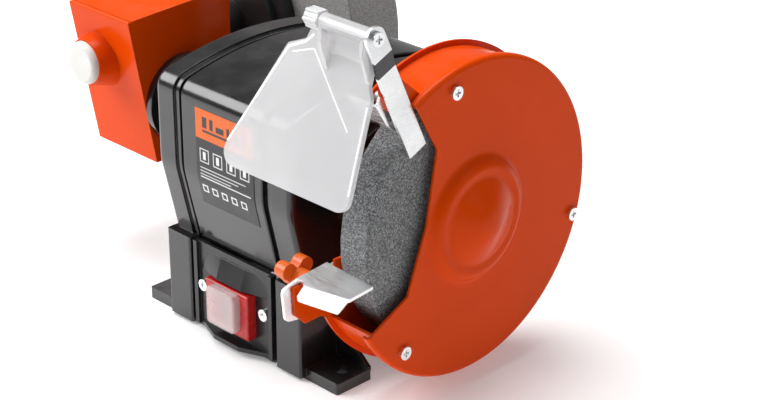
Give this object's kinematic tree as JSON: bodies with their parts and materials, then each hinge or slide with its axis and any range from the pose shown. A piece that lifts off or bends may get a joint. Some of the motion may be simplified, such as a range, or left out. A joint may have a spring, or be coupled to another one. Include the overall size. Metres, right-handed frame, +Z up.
{
  "type": "bench grinder",
  "caption": "Combination bench grinder: fast dry wheel in a guard with rest and eye shield, and a slow wet wheel on a worm gearbox with a water tray.",
  "frame": {"origin": "on the bench plane, at the centre of the four foot bolts", "axes": "+X along the motor shaft toward the dry wheel, +Y to the back, +Z up"},
  "size_m": [0.4019, 0.2537, 0.2302],
  "materials": {
    "black_paint": "gloss black paint",
    "black_plastic": "gloss black moulding",
    "orange_paint": "gloss orange paint",
    "orange_plastic": "satin orange moulding",
    "zinc": "bright zinc plate",
    "steel": "turned steel",
    "laminations": "stamped electrical steel",
    "copper": "enamelled copper wire",
    "bronze": "sintered bronze",
    "dry_stone": "coarse bonded grit",
    "wet_stone": "fine bonded grit",
    "paper": "blotter paper",
    "clear_plastic": "clear moulding",
    "red_plastic": "gloss red moulding",
    "green_plastic": "gloss moulding",
    "white_plastic": "satin white moulding",
    "rubber": "matte rubber",
    "label": "printed foil label"
  },
  "bodies": {
    "frame": {"base_plate": "black_paint", "bearing_left": "steel", "bearing_right": "steel", "boss_cap": "white_plastic", "bracket_screws": "zinc", "cable_gland": "rubber", "gearbox_front": "orange_paint", "gearbox_housing": "orange_paint", "gearbox_neck": "black_paint", "guard_back_plate": "orange_paint", "guard_band": "orange_paint", "guard_cover": "orange_paint", "guard_cover_screws": "zinc", "guard_screws": "zinc", "guard_spacer": "black_paint", "left_end_bell": "black_paint", "motor_barrel": "laminations", "motor_cover": "black_paint", "neck_bolts": "zinc", "panel_screws": "zinc", "rating_label": "label", "rear_panel": "black_plastic", "rest_bolt": "zinc", "right_end_bell": "black_paint", "rubber_pads": "rubber", "run_capacitor": "white_plastic", "shaft_bushes": "bronze", "stator_core": "laminations", "stator_windings": "copper", "switch_body": "red_plastic", "switch_cover": "clear_plastic", "switch_panel": "black_plastic", "tray_bracket": "zinc", "water_tray": "black_plastic"},
    "rotor": {"motor_shaft": "steel", "rotor_core": "laminations", "inner_flange": "zinc", "wheel_papers": "paper", "dry_wheel": "dry_stone", "outer_flange": "zinc", "dry_wheel_nut": "zinc", "worm": "steel"},
    "wet_drive": {"output_shaft": "steel", "worm_wheel": "bronze", "wet_wheel_hub": "black_plastic", "wet_wheel": "wet_stone", "wet_wheel_flange": "black_plastic", "wet_wheel_nut": "zinc"},
    "arm": {"shield_arm": "zinc", "shield_pin": "zinc", "star_washer": "zinc", "arm_nut": "zinc"},
    "shield": {"eye_shield": "clear_plastic"},
    "shield_clamp": {"shield_knob": "clear_plastic"},
    "arrester": {"spark_arrester": "zinc"},
    "rest": {"tool_rest": "zinc"},
    "rest_clamp": {"rest_wing_knob": "orange_plastic"},
    "stop": {"stop_button": "red_plastic"},
    "start": {"start_button": "green_plastic"}
  },
  "joints": [
    {"name": "rotor_spin", "type": "hinge", "parent": "frame", "child": "rotor", "pos_m": [0, 0, 0.103], "axis": [1, 0, 0], "continuous": true},
    {"name": "wet_wheel_spin", "type": "hinge", "parent": "frame", "child": "wet_drive", "pos_m": [-0.155, 0, 0.128], "axis": [0, 1, 0], "continuous": true},
    {"name": "arm_pivot", "type": "hinge", "parent": "frame", "child": "arm", "pos_m": [0.118, -0.05587, 0.18448], "axis": [-1, 0, 0], "range_deg": [0, 40]},
    {"name": "shield_tilt", "type": "hinge", "parent": "arm", "child": "shield", "pos_m": [0.104, -0.07426, 0.2239], "axis": [-1, 0, 0], "range_deg": [-8, 75]},
    {"name": "shield_clamp_turn", "type": "hinge", "parent": "arm", "child": "shield_clamp", "pos_m": [0.083, -0.07426, 0.2239], "axis": [-1, 0, 0], "range_deg": [0, 180]},
    {"name": "arrester_slide", "type": "slide", "parent": "frame", "child": "arrester", "axis": [0, 0.5299, -0.848], "range_m": [-0.003, 0.004]},
    {"name": "rest_slide", "type": "slide", "parent": "frame", "child": "rest", "axis": [0, 0.9968, 0.0802], "range_m": [-0.006, 0.0012]},
    {"name": "rest_clamp_turn", "type": "hinge", "parent": "frame", "child": "rest_clamp", "pos_m": [0.08, -0.085, 0.081], "axis": [1, 0, 0], "range_deg": [0, 180]},
    {"name": "stop_press", "type": "slide", "parent": "frame", "child": "stop", "axis": [0, 1, 0], "range_m": [0, 0.0015], "stiffness_N_per_m": 500, "springref_m": -0.001},
    {"name": "start_press", "type": "slide", "parent": "frame", "child": "start", "axis": [0, 1, 0], "range_m": [0, 0.0015], "stiffness_N_per_m": 500, "springref_m": -0.001}
  ],
  "couplings": [
    {"joint": "wet_wheel_spin", "follows": "rotor_spin", "ratio": 0.045455}
  ]
}
